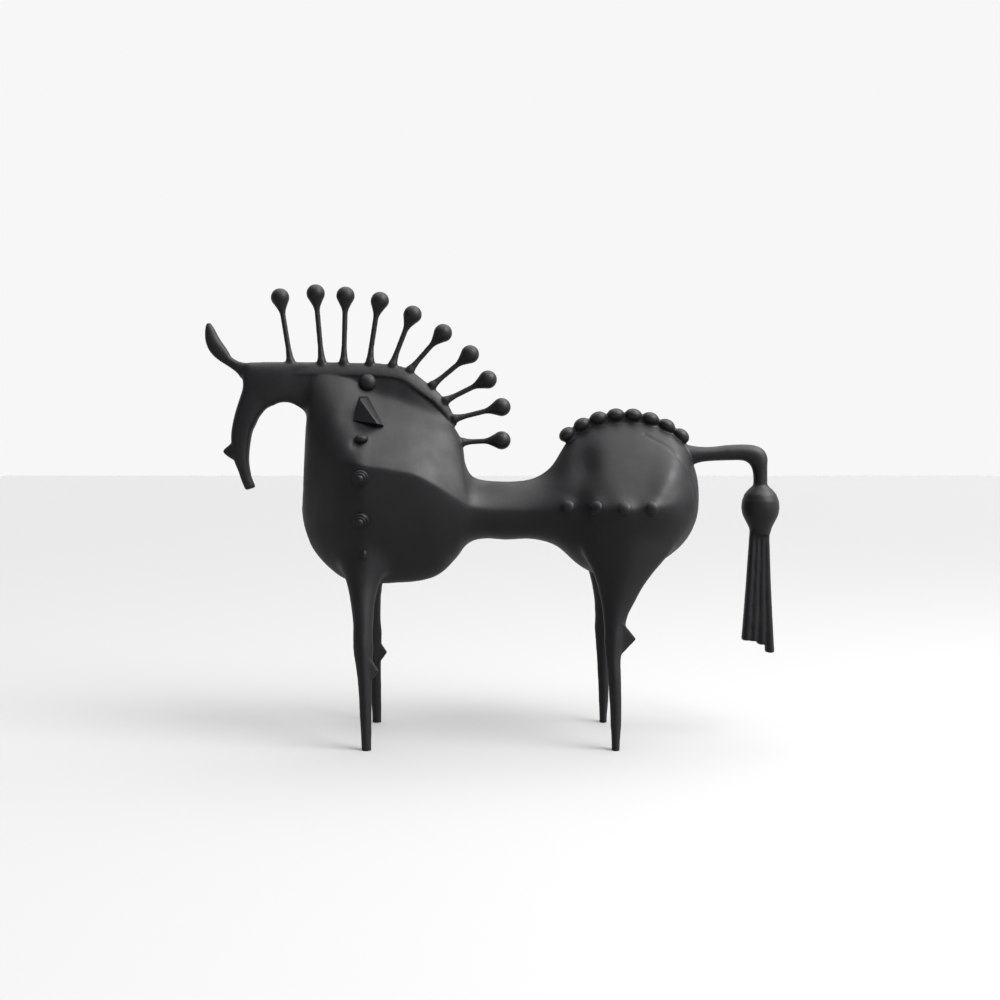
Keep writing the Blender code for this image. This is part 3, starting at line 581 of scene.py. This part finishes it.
def mane_forms():
    """Ten pins: a flared root, a thin stem and a ball that tapers into it."""
    stem = MANE_STEM_DIAMETER / 2.0
    ball = MANE_BALL_DIAMETER / 2.0
    forms = []
    for root_x, root_z, ball_x, ball_z, bow in MANE_PINS:
        run = Vector((share(ball_x - root_x), share(ball_z - root_z)))
        reach = run.length
        profile = [(stem * part, reach * height) for part, height in MANE_STEM_ROWS]
        profile += [(ball * part, reach - ball * depth) for part, depth in MANE_BALL_ROWS]
        for step in range(1 - DOME_STEPS // 2, DOME_STEPS + 1):
            angle = math.pi / 2.0 * step / DOME_STEPS
            profile.append((ball * math.cos(angle), reach + ball * math.sin(angle)))
        form = turned_form(profile, Matrix.Identity(4))
        for vertex in form.verts:
            along = min(max(vertex.co.z / reach, 0.0), 1.0)
            vertex.co.x -= share(bow) * math.sin(math.pi * along)
        place = Vector((share(root_x), 0.0, share(root_z)))
        form.transform(leaning(place, math.atan2(run.x, run.y)))
        forms.append(form)
    return forms


def bead_forms():
    """The row of beads over the rump, on a thin web that fills the gaps between them."""
    web = []
    for step in range(2 * STEPS + 1):
        turn = BEAD_PITCH * (RUMP_BEAD_COUNT - 1) * step / (2.0 * STEPS)
        angle = math.radians(BEAD_FIRST_ANGLE + turn)
        outwards = Vector((math.sin(angle), math.cos(angle)))
        middle = Vector((share(BEAD_CENTRE[0]), share(BEAD_CENTRE[1])))
        middle += outwards * share(BEAD_RADIUS)
        half = outwards * RUMP_BEAD_HEIGHT / 2.0
        foot = middle - 2.0 * half
        web.append(section(middle + half * WEB_TOP, middle - half, foot, WEB_THICKNESS / 2.0, 0.0))
    forms = [loft(web)]
    size = (RUMP_BEAD_LENGTH, RUMP_BEAD_LENGTH, RUMP_BEAD_HEIGHT)
    centre = Vector((share(BEAD_CENTRE[0]), 0.0, share(BEAD_CENTRE[1])))
    for index in range(RUMP_BEAD_COUNT):
        angle = math.radians(BEAD_FIRST_ANGLE + index * BEAD_PITCH)
        outwards = Vector((math.sin(angle), 0.0, math.cos(angle)))
        place = centre + outwards * share(BEAD_RADIUS)
        forms.append(ball_form(place, size, Matrix.Rotation(angle, 4, 'Y')))
    return forms


def tail_forms():
    """The bent bar, the ball under it and the rope-like tassel."""
    forms = [ribbed_form(TAIL_RIBS, TAIL_BAR_THICKNESS, OVAL)]
    radius = TAIL_BALL_DIAMETER / 2.0
    profile = [(radius * part, share(height)) for height, part in reversed(TAIL_BALL_PROFILE)]
    place = Vector((share(TAIL_BALL_X), 0.0, 0.0))
    forms.append(turned_form(profile, Matrix.Translation(place)))
    half = TASSEL_STRAND_DIAMETER / 2.0
    for line in TASSEL_LINES:
        rings = []
        for step, (x, z) in enumerate(smooth_rows(line, STEPS)):
            reach = step / (2.0 * STEPS)
            width = half * (TASSEL_TOP_WIDTH + (1.0 - TASSEL_TOP_WIDTH) * reach)
            centre = Vector((share(x), share(z)))
            edge = Vector((width, 0.0))
            depth = TASSEL_THICKNESS / 2.0 * (TASSEL_TOP_DEPTH + (1.0 - TASSEL_TOP_DEPTH) * reach)
            rings.append(section(centre - edge, centre, centre + edge, depth, 0.0))
        forms.append(loft(rings))
    return forms


def skin_point(tree, x, z, side):
    """Where the body's skin is at a place seen from one side, and its outward direction."""
    start = Vector((share(x), side * HORSE_LENGTH, share(z)))
    point, normal, _, _ = tree.ray_cast(start, Vector((0.0, -side, 0.0)))
    return point, normal


def on_skin(tree, place, side):
    """A frame on the body's skin, its z axis pointing out of it."""
    point, normal = skin_point(tree, place[0], place[1], side)
    return Matrix.Translation(point) @ normal.to_track_quat('Z', 'Y').to_matrix().to_4x4()


def dome_profile(diameter, height):
    """A dome whose foot is sunk in the skin."""
    profile = [(diameter / 2.0, -SINK)]
    for step in range(DOME_STEPS + 1):
        angle = math.pi / 2.0 * step / DOME_STEPS
        profile.append((diameter / 2.0 * math.cos(angle), height * math.sin(angle)))
    return profile


def stud_profile(diameter, height):
    """A flat disc with a round button on it."""
    radius = diameter / 2.0
    profile = [(radius, -SINK)]
    profile += [(radius * part, height * level) for part, level in STUD_RING_ROWS]
    ring = profile[-1][1]
    for step in range(DOME_STEPS + 1):
        angle = math.pi / 2.0 * step / DOME_STEPS
        lift = ring + (height - ring) * math.sin(angle)
        profile.append((radius * STUD_BUTTON * math.cos(angle), lift))
    return profile


def thorn_form(tree, side):
    """The three-cornered thorn on the shoulder, with a ridge from its top to its lower rear."""
    form = bmesh.new()
    for corner in THORN_CORNERS:
        point, normal = skin_point(tree, corner[0], corner[1], side)
        form.verts.new(point - normal * SINK)
        form.verts.new(point + normal * THORN_FOOT)
    for x, z, rise in THORN_RIDGE:
        point, _ = skin_point(tree, x, z, side)
        form.verts.new(point + Vector((0.0, side * rise * THORN_HEIGHT, 0.0)))
    bmesh.ops.convex_hull(form, input=form.verts)
    return form


def ornament_forms(tree):
    """Studs, thorn, nub and dot, alike on both sides."""
    forms = []
    for side in (-1.0, 1.0):
        for index in range(FLANK_STUD_COUNT):
            place = (FLANK_STUD_FIRST[0] + index * FLANK_STUD_PITCH, FLANK_STUD_FIRST[1])
            profile = dome_profile(FLANK_STUD_DIAMETER, FLANK_STUD_HEIGHT)
            forms.append(turned_form(profile, on_skin(tree, place, side)))
        profile = dome_profile(CHEST_BOSS_DIAMETER, CHEST_BOSS_HEIGHT)
        forms.append(turned_form(profile, on_skin(tree, BOSS_PLACE, side)))
        forms.append(thorn_form(tree, side))
        point, _ = skin_point(tree, NUB_PLACE[0], NUB_PLACE[1], side)
        forms.append(ball_form(point, (NUB_DIAMETER, NUB_DIAMETER, NUB_DIAMETER * NUB_PROUD)))
        for place in CHEST_STUD_PLACES:
            profile = stud_profile(CHEST_STUD_DIAMETER, CHEST_STUD_HEIGHT)
            forms.append(turned_form(profile, on_skin(tree, place, side)))
        point, _ = skin_point(tree, DOT_PLACE[0], DOT_PLACE[1], side)
        forms.append(ball_form(point, (DOT_DIAMETER, DOT_DIAMETER, DOT_DIAMETER * DOT_TALL)))
    return forms


def leg_forms():
    """Four legs."""
    forms = []
    for side in (-1.0, 1.0):
        forms.append(leg_form(FORE_LEG, side))
        forms.append(leg_form(HIND_LEG, side))
    return forms


def spur_forms():
    """The thorns behind the knees and the hocks."""
    forms = []
    for side in (-1.0, 1.0):
        forms.append(spur_form(KNEE_SPUR, FORE_LEG, side))
        forms.append(spur_form(HOCK_SPUR, HIND_LEG, side))
    return forms


def make_mesh(name, forms):
    """Puts several closed skins in one mesh."""
    whole = bmesh.new()
    for form in forms:
        piece = bpy.data.meshes.new("piece")
        form.to_mesh(piece)
        form.free()
        whole.from_mesh(piece)
        bpy.data.meshes.remove(piece)
    mesh = bpy.data.meshes.new(name)
    whole.to_mesh(mesh)
    whole.free()
    return mesh


def run_together(forms, grain):
    """One skin around all the forms, as cast metal has."""
    rough = bpy.data.objects.new("rough", make_mesh("rough", forms))
    bpy.context.scene.collection.objects.link(rough)
    skin = rough.modifiers.new("run_together", 'REMESH')
    skin.mode = 'VOXEL'
    skin.voxel_size = grain
    graph = bpy.context.evaluated_depsgraph_get()
    mesh = bpy.data.meshes.new_from_object(rough.evaluated_get(graph))
    bpy.data.objects.remove(rough, do_unlink=True)
    return mesh


def ease(mesh, rounds, zones=()):
    """Draws the skin smooth: all of it, or within round zones given as centre and radius."""
    count = len(mesh.vertices)
    places = np.empty(count * 3)
    mesh.vertices.foreach_get("co", places)
    places = places.reshape(count, 3)
    edges = np.empty(len(mesh.edges) * 2, dtype=np.int64)
    mesh.edges.foreach_get("vertices", edges)
    first, second = edges.reshape(-1, 2).T
    neighbours = np.bincount(first, minlength=count) + np.bincount(second, minlength=count)
    weight = np.full(count, 0.0 if zones else EASE_PULL)
    for centre, radius in zones:
        distance = np.linalg.norm(places - np.array(centre), axis=1) / radius
        weight = np.maximum(weight, EASE_PULL * np.clip(1.0 - distance ** 2, 0.0, 1.0))
    for _ in range(rounds):
        total = np.zeros_like(places)
        for axis in range(3):
            total[:, axis] += np.bincount(first, places[second, axis], count)
            total[:, axis] += np.bincount(second, places[first, axis], count)
        places += weight[:, None] * (total / neighbours[:, None] - places)
    mesh.vertices.foreach_set("co", places.ravel())
    mesh.update()


def joint_zones():
    """Where legs, head and crest flow out of the body."""
    zones = []
    for place, outwards, radius in BLEND_PLACES:
        for side in (-1.0, 1.0):
            centre = (share(place[0]), side * outwards * STANCE_WIDTH / 2.0, share(place[1]))
            zones.append((centre, share(radius)))
    return zones


def relief(mesh):
    """Presses and raises the casting's shallow features on both of its sides."""
    count = len(mesh.vertices)
    places = np.empty(count * 3)
    normals = np.empty(count * 3)
    mesh.vertices.foreach_get("co", places)
    mesh.vertices.foreach_get("normal", normals)
    places = places.reshape(count, 3)
    normals = normals.reshape(count, 3)
    x = places[:, 0] / share(1.0)
    z = places[:, 2] / share(1.0)
    lift = np.zeros(count)
    for centre, radii, turn, height in HOLLOWS:
        lift += height * mound(x, z, centre, radii, turn)
    for line, width, height in CREASES:
        lift += height * np.exp(-(line_distance(x, z, line) / width) ** 2)
    places += normals * (lift * np.abs(normals[:, 1]))[:, None]
    mesh.vertices.foreach_set("co", places.ravel())
    mesh.update()


def mound(x, z, centre, radii, turn):
    """A smooth bump: one at its centre and gone at its stretched, turned edge."""
    angle = math.radians(turn)
    along = (x - centre[0]) * math.cos(angle) + (z - centre[1]) * math.sin(angle)
    across = (z - centre[1]) * math.cos(angle) - (x - centre[0]) * math.sin(angle)
    reach = (along / radii[0]) ** 2 + (across / radii[1]) ** 2
    return np.exp(-MOUND_FALL * reach)


def line_distance(x, z, line):
    """How far points are from a line through places, in percent."""
    best = np.full(x.shape, 1e9)
    for first, second in zip(line, line[1:]):
        run_x = second[0] - first[0]
        run_z = second[1] - first[1]
        t = ((x - first[0]) * run_x + (z - first[1]) * run_z) / (run_x ** 2 + run_z ** 2)
        t = np.clip(t, 0.0, 1.0)
        best = np.minimum(best, np.hypot(x - first[0] - t * run_x, z - first[1] - t * run_z))
    return best


def piece(name, mesh, material):
    """A shown piece of the casting, riding with it."""
    item = bpy.data.objects.new(name, mesh)
    bpy.context.scene.collection.objects.link(item)
    mesh.name = name
    mesh.materials.clear()
    mesh.materials.append(material)
    mesh.shade_smooth()
    mesh.set_sharp_from_angle(angle=math.radians(SHARP_ANGLE))
    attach(item, "root")
    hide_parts("horse")
    return item


def thin_out(mesh, faces):
    """Fewer faces where the skin is even, as many as before where it turns."""
    item = bpy.data.objects.new("thin_out", mesh)
    bpy.context.scene.collection.objects.link(item)
    fewer = item.modifiers.new("fewer", 'DECIMATE')
    fewer.ratio = min(1.0, faces / (2.0 * len(mesh.polygons)))
    graph = bpy.context.evaluated_depsgraph_get()
    result = bpy.data.meshes.new_from_object(item.evaluated_get(graph))
    bpy.data.objects.remove(item, do_unlink=True)
    return result


def flatten_feet(mesh):
    """Cuts off what lies below the ground, so that the feet end flat."""
    form = bmesh.new()
    form.from_mesh(mesh)
    everything = form.verts[:] + form.edges[:] + form.faces[:]
    bmesh.ops.bisect_plane(
        form, geom=everything, plane_co=(0.0, 0.0, 0.0), plane_no=(0.0, 0.0, -1.0),
        clear_outer=True)
    rims = [edge for edge in form.edges if edge.is_boundary]
    bmesh.ops.holes_fill(form, edges=rims, sides=0)
    form.to_mesh(mesh)
    form.free()


def math_node(tree, operation, first, second):
    """A sum, product or other operation on two values, each a number or a socket."""
    node = tree.nodes.new("ShaderNodeMath")
    node.operation = operation
    for index, value in enumerate((first, second)):
        if isinstance(value, float):
            node.inputs[index].default_value = value
        else:
            tree.links.new(value, node.inputs[index])
    return node.outputs["Value"]


def mapped(tree, value, start, end, low=0.0, high=1.0, way='LINEAR'):
    """A value taken from one span to another."""
    node = tree.nodes.new("ShaderNodeMapRange")
    node.interpolation_type = way
    node.inputs["From Min"].default_value = start
    node.inputs["From Max"].default_value = end
    node.inputs["To Min"].default_value = low
    node.inputs["To Max"].default_value = high
    tree.links.new(value, node.inputs["Value"])
    return node.outputs["Result"]


def painted_shade_patch(tree, place):
    """One over the skin, and little in the patch of painted shade beside the thorns."""
    parts = tree.nodes.new("ShaderNodeSeparateXYZ")
    tree.links.new(place, parts.inputs[0])
    squares = 0.0
    past = 0.0
    for index, axis in enumerate("XZ"):
        from_middle = math_node(tree, 'SUBTRACT', parts.outputs[axis], SHADE_PATCH_MIDDLE[index])
        reach = math_node(tree, 'DIVIDE', from_middle, SHADE_PATCH_REACH[index])
        squares = math_node(tree, 'ADD', squares, math_node(tree, 'MULTIPLY', reach, reach))
        from_edge = math_node(tree, 'SUBTRACT', parts.outputs[axis], SHADE_PATCH_EDGE_POINT[index])
        step = math_node(tree, 'MULTIPLY', from_edge, SHADE_PATCH_EDGE_FACING[index])
        past = math_node(tree, 'ADD', past, step)
    inside = mapped(tree, squares, SHADE_PATCH_FADE[0], SHADE_PATCH_FADE[1], way='SMOOTHSTEP')
    beyond = mapped(tree, past, 0.0, SHADE_PATCH_EDGE_SOFTNESS, way='SMOOTHSTEP')
    patch = math_node(tree, 'MULTIPLY', inside, beyond)
    return math_node(tree, 'SUBTRACT', 1.0, math_node(tree, 'MULTIPLY', patch, SHADE_PATCH_STRENGTH))


def black_metal():
    """Satin black finish over metal cast in sand: uneven in tone, gloss and surface, with painted
    shade beside the thorn.
    """
    material = bpy.data.materials.new("black_casting")
    material.use_nodes = True
    tree = material.node_tree
    shader = tree.nodes["Principled BSDF"]
    shader.inputs["Metallic"].default_value = 0.0
    shader.inputs["IOR"].default_value = BLACK_IOR
    place = tree.nodes.new("ShaderNodeTexCoord").outputs["Object"]

    def noise(scale, detail):
        node = tree.nodes.new("ShaderNodeTexNoise")
        node.inputs["Scale"].default_value = scale
        node.inputs["Detail"].default_value = detail
        tree.links.new(place, node.inputs["Vector"])
        return node.outputs["Fac"]

    tone = tree.nodes.new("ShaderNodeMix")
    tone.data_type = 'RGBA'
    tone.inputs["A"].default_value = BLACK_TONES[0]
    tone.inputs["B"].default_value = BLACK_TONES[1]
    tree.links.new(mapped(tree, noise(*TONE_NOISE), *NOISE_SPAN), tone.inputs["Factor"])
    tree.links.new(tone.outputs["Result"], shader.inputs["Base Color"])
    roughness = mapped(tree, noise(*ROUGHNESS_NOISE), *NOISE_SPAN, *BLACK_ROUGHNESS)
    tree.links.new(roughness, shader.inputs["Roughness"])

    turned = tree.nodes.new("ShaderNodeLayerWeight")
    turned.inputs["Blend"].default_value = 0.5
    gloss = mapped(tree, turned.outputs["Facing"], *GLOSS_TURN, *GLOSS)
    # The gloss drops in the patch beside the thorn: painted shade
    gloss = math_node(tree, 'MULTIPLY', gloss, painted_shade_patch(tree, place))
    tree.links.new(gloss, shader.inputs["Specular IOR Level"])

    below = None
    for scale, detail, strength, distance in (BLACK_WAVES, BLACK_GRAIN):
        bump = tree.nodes.new("ShaderNodeBump")
        bump.inputs["Strength"].default_value = strength
        bump.inputs["Distance"].default_value = distance
        tree.links.new(noise(scale, detail), bump.inputs["Height"])
        if below is not None:
            tree.links.new(below, bump.inputs["Normal"])
        below = bump.outputs["Normal"]
    tree.links.new(below, shader.inputs["Normal"])
    return material


def pale_floor():
    """A plain pale floor."""
    material = bpy.data.materials.new("pale_floor")
    material.use_nodes = True
    nodes = material.node_tree.nodes
    links = material.node_tree.links
    shader = nodes["Principled BSDF"]
    shader.inputs["Roughness"].default_value = FLOOR_ROUGHNESS
    grain = nodes.new("ShaderNodeTexNoise")
    grain.inputs["Scale"].default_value = FLOOR_NOISE_SCALE
    tone = nodes.new("ShaderNodeMix")
    tone.data_type = 'RGBA'
    tone.inputs["A"].default_value = FLOOR_TONES[0]
    tone.inputs["B"].default_value = FLOOR_TONES[1]
    links.new(grain.outputs["Fac"], tone.inputs["Factor"])
    links.new(tone.outputs["Result"], shader.inputs["Base Color"])
    form = bmesh.new()
    bmesh.ops.create_grid(form, x_segments=1, y_segments=1, size=FLOOR_REACH)
    mesh = bpy.data.meshes.new("floor")
    form.to_mesh(mesh)
    form.free()
    mesh.materials.append(material)
    floor = bpy.data.objects.new("floor", mesh)
    bpy.context.scene.collection.objects.link(floor)


def studio():
    """A pale room, brighter behind and overhead, with a soft lamp from the right."""
    world = bpy.data.worlds.new("studio")
    bpy.context.scene.world = world
    world.use_nodes = True
    tree = world.node_tree
    place = tree.nodes.new("ShaderNodeTexCoord").outputs["Generated"]
    total = 0.0
    for direction, start, end, low, high in ROOM:
        turned = tree.nodes.new("ShaderNodeVectorMath")
        turned.operation = 'DOT_PRODUCT'
        turned.inputs[1].default_value = Vector(direction).normalized()
        tree.links.new(place, turned.inputs[0])
        light = mapped(tree, turned.outputs["Value"], start, end, low, high, 'SMOOTHSTEP')
        total = math_node(tree, 'ADD', total, light)
    background = tree.nodes["Background"]
    background.inputs["Color"].default_value = (1.0, 1.0, 1.0, 1.0)
    tree.links.new(total, background.inputs["Strength"])

    data = bpy.data.lights.new("panel", 'AREA')
    data.energy = PANEL_POWER
    data.size = PANEL_SIDE
    panel = bpy.data.objects.new("panel", data)
    bpy.context.scene.collection.objects.link(panel)
    panel.location = PANEL_PLACE
    panel.rotation_mode = 'QUATERNION'
    facing = Vector(PANEL_PLACE) - Vector(PANEL_TARGET)
    panel.rotation_quaternion = facing.to_track_quat('Z', 'Y')

    data = bpy.data.lights.new("key", 'SUN')
    data.energy = KEY_POWER
    data.angle = math.radians(KEY_SPREAD)
    data.color = KEY_COLOUR
    lamp = bpy.data.objects.new("key", data)
    bpy.context.scene.collection.objects.link(lamp)
    lamp.rotation_mode = 'QUATERNION'
    lamp.rotation_quaternion = Vector(KEY_DIRECTION).to_track_quat('Z', 'Y')
    bpy.context.scene.view_settings.view_transform = 'Standard'


def camera():
    """The camera at the photograph's place: level, and a little right of the head."""
    data = bpy.data.cameras.new("camera")
    data.sensor_width = SENSOR_WIDTH * 1000.0
    data.lens = data.sensor_width * EYE_DISTANCE / VIEW_WIDTH
    data.shift_x = VIEW_SHIFT[0]
    data.shift_y = VIEW_SHIFT[1]
    eye = bpy.data.objects.new("camera", data)
    bpy.context.scene.collection.objects.link(eye)
    eye.location = (EYE_PLACE[0], -EYE_DISTANCE, EYE_PLACE[1])
    eye.rotation_euler = (math.pi / 2.0, 0.0, 0.0)
    bpy.context.scene.camera = eye


def casting():
    """The horse: the skin run together, and its crisp ornaments on it."""
    material = black_metal()
    web = crest_form(
        CREST_WEB_TOP, CREST_WEB_FOOT, CREST_WEB_WIDTH, CREST_WEB_WIDEST, CREST_WEB_SQUARENESS)
    head = ribbed_form(HEAD_RIBS, HEAD_THICKNESS, HEAD_SQUARENESS)
    core = run_together([body_form(), web, head] + leg_forms(), CORE_GRAIN)
    ease(core, BLEND_ROUNDS, joint_zones())
    core_form = bmesh.new()
    core_form.from_mesh(core)
    tree = BVHTree.FromBMesh(core_form)
    forms = [
        core_form,
        ribbed_form(NOSE_RIBS, HEAD_THICKNESS, OVAL),
        ribbed_form(EAR_RIBS, EAR_THICKNESS, OVAL),
        crest_form(0.0, CREST_BAND_HEIGHT, CREST_BAND_WIDTH, CREST_WIDEST, CREST_SQUARENESS),
    ]
    forms += spur_forms() + mane_forms() + bead_forms() + tail_forms()
    skin = run_together(forms, GRAIN)
    ease(skin, SMOOTHING_ROUNDS)
    relief(skin)
    flatten_feet(skin)
    skin = thin_out(skin, FACET_COUNT)
    piece("cast_skin", skin, material)
    piece("ornaments", make_mesh("ornaments", ornament_forms(tree)), material)


casting()
pale_floor()
studio()
camera()
